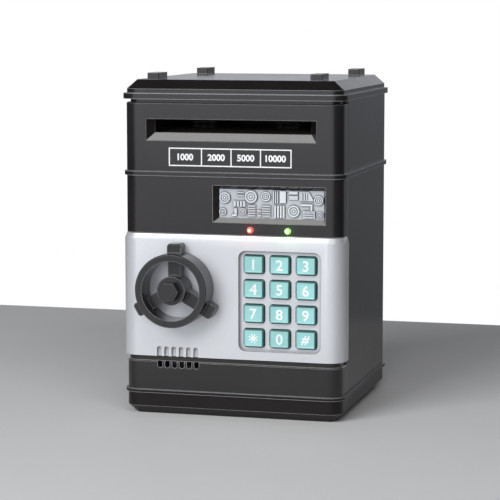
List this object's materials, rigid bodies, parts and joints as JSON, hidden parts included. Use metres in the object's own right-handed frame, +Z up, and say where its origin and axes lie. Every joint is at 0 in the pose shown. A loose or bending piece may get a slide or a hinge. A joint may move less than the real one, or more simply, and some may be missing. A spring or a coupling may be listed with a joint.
{
  "type": "toy cash machine savings bank",
  "caption": "Square toy cash machine savings bank with a splayed note slot, relief window, indicator lamps, silver keypad door, handwheel knob and bevelled lid.",
  "frame": {"origin": "centre of the base's underside, on the surface that it stands on", "axes": "+Z up, the door and keypad face -Y, +X to the right seen from the front"},
  "size_m": [0.125, 0.1434, 0.187],
  "materials": {
    "case_black": "glossy moulded",
    "inner_black": "fine matt moulded",
    "knob_black": "satin moulded",
    "door_silver": "silver metallic moulded, satin",
    "relief_silver": "silvered, satin",
    "key_mint": "satin moulded",
    "lamp_red": "clear tinted",
    "lamp_green": "clear tinted",
    "steel": "plated",
    "gear_white": "natural acetal",
    "roller_rubber": "matt",
    "board_green": "lacquered board",
    "chip_black": "matt",
    "speaker_black": "matt",
    "coil_copper": "enamelled wire",
    "membrane_grey": "matt silicone"
  },
  "bodies": {
    "housing": {"base_tray": "case_black", "battery_box": "inner_black", "battery_springs": "steel", "battery_plates": "steel", "battery_cover": "case_black", "battery_cover_screw": "steel", "front_frame": "case_black", "rear_shell": "case_black", "hinge_jamb": "inner_black", "hinge_pins": "steel", "cash_floor": "inner_black", "strike_plate": "steel", "speaker": "speaker_black", "main_board": "board_green", "board_parts": "chip_black", "board_screws": "steel", "case_screws": "steel", "relief_panel": "relief_silver", "led_red": "lamp_red", "led_green": "lamp_green", "led_board": "board_green", "mid_deck": "case_black", "upper_front": "case_black", "upper_rear_shell": "case_black", "lid": "case_black", "lid_screws": "steel", "coin_chute": "inner_black", "feeder_frame": "inner_black", "feed_motor": "steel", "note_guide_lower": "inner_black", "note_guide_upper": "inner_black"},
    "door": {"door_front": "door_silver", "door_back": "inner_black", "door_screws": "steel", "keypad_membrane": "membrane_grey", "keypad_board": "board_green", "bolt_guide": "inner_black", "lock_coil": "coil_copper"},
    "knob": {"knob_wheel": "knob_black", "knob_cap": "knob_black", "knob_spindle": "steel"},
    "bolt": {"latch_bolt": "steel"},
    "plunger": {"lock_plunger": "steel"},
    "drive": {"drive_shaft": "gear_white", "drive_rollers": "roller_rubber"},
    "idler": {"idler_shaft": "steel", "idler_rollers": "roller_rubber"},
    "motor_rotor": {"motor_pinion": "gear_white"},
    "key_1": {"key_1": "key_mint"},
    "key_2": {"key_2": "key_mint"},
    "key_3": {"key_3": "key_mint"},
    "key_4": {"key_4": "key_mint"},
    "key_5": {"key_5": "key_mint"},
    "key_6": {"key_6": "key_mint"},
    "key_7": {"key_7": "key_mint"},
    "key_8": {"key_8": "key_mint"},
    "key_9": {"key_9": "key_mint"},
    "key_star": {"key_star": "key_mint"},
    "key_0": {"key_0": "key_mint"},
    "key_hash": {"key_hash": "key_mint"}
  },
  "joints": [
    {"name": "door_swing", "type": "hinge", "parent": "housing", "child": "door", "pos_m": [0.053, -0.053, 0.0665], "axis": [0, 0, 1], "range_deg": [0, 105]},
    {"name": "knob_turn", "type": "hinge", "parent": "door", "child": "knob", "pos_m": [-0.0293, -0.0623, 0.071], "axis": [0, 1, 0], "range_deg": [0, 90]},
    {"name": "bolt_slide", "type": "slide", "parent": "door", "child": "bolt", "axis": [-1, 0, 0], "range_m": [0, 0.0079]},
    {"name": "plunger_rise", "type": "slide", "parent": "door", "child": "plunger", "axis": [0, 0, 1], "range_m": [0, 0.00182]},
    {"name": "drive_spin", "type": "hinge", "parent": "housing", "child": "drive", "pos_m": [0, -0.028, 0.152], "axis": [1, 0, 0], "continuous": true},
    {"name": "idler_spin", "type": "hinge", "parent": "housing", "child": "idler", "pos_m": [0, -0.028, 0.16435], "axis": [1, 0, 0], "continuous": true},
    {"name": "motor_spin", "type": "hinge", "parent": "housing", "child": "motor_rotor", "pos_m": [0.05, -0.01247, 0.14508], "axis": [1, 0, 0], "continuous": true},
    {"name": "key_1_press", "type": "slide", "parent": "door", "child": "key_1", "axis": [0, 1, 0], "range_m": [0, 0.0012], "stiffness_N_per_m": 250, "springref_m": -0.0006},
    {"name": "key_2_press", "type": "slide", "parent": "door", "child": "key_2", "axis": [0, 1, 0], "range_m": [0, 0.0012], "stiffness_N_per_m": 250, "springref_m": -0.0006},
    {"name": "key_3_press", "type": "slide", "parent": "door", "child": "key_3", "axis": [0, 1, 0], "range_m": [0, 0.0012], "stiffness_N_per_m": 250, "springref_m": -0.0006},
    {"name": "key_4_press", "type": "slide", "parent": "door", "child": "key_4", "axis": [0, 1, 0], "range_m": [0, 0.0012], "stiffness_N_per_m": 250, "springref_m": -0.0006},
    {"name": "key_5_press", "type": "slide", "parent": "door", "child": "key_5", "axis": [0, 1, 0], "range_m": [0, 0.0012], "stiffness_N_per_m": 250, "springref_m": -0.0006},
    {"name": "key_6_press", "type": "slide", "parent": "door", "child": "key_6", "axis": [0, 1, 0], "range_m": [0, 0.0012], "stiffness_N_per_m": 250, "springref_m": -0.0006},
    {"name": "key_7_press", "type": "slide", "parent": "door", "child": "key_7", "axis": [0, 1, 0], "range_m": [0, 0.0012], "stiffness_N_per_m": 250, "springref_m": -0.0006},
    {"name": "key_8_press", "type": "slide", "parent": "door", "child": "key_8", "axis": [0, 1, 0], "range_m": [0, 0.0012], "stiffness_N_per_m": 250, "springref_m": -0.0006},
    {"name": "key_9_press", "type": "slide", "parent": "door", "child": "key_9", "axis": [0, 1, 0], "range_m": [0, 0.0012], "stiffness_N_per_m": 250, "springref_m": -0.0006},
    {"name": "key_star_press", "type": "slide", "parent": "door", "child": "key_star", "axis": [0, 1, 0], "range_m": [0, 0.0012], "stiffness_N_per_m": 250, "springref_m": -0.0006},
    {"name": "key_0_press", "type": "slide", "parent": "door", "child": "key_0", "axis": [0, 1, 0], "range_m": [0, 0.0012], "stiffness_N_per_m": 250, "springref_m": -0.0006},
    {"name": "key_hash_press", "type": "slide", "parent": "door", "child": "key_hash", "axis": [0, 1, 0], "range_m": [0, 0.0012], "stiffness_N_per_m": 250, "springref_m": -0.0006}
  ],
  "couplings": [
    {"joint": "bolt_slide", "follows": "knob_turn", "m_per_rad": 0.005},
    {"joint": "plunger_rise", "follows": "knob_turn", "m_per_rad": 0.0011459},
    {"joint": "idler_spin", "follows": "drive_spin", "ratio": -1},
    {"joint": "motor_spin", "follows": "drive_spin", "ratio": -2.4}
  ]
}
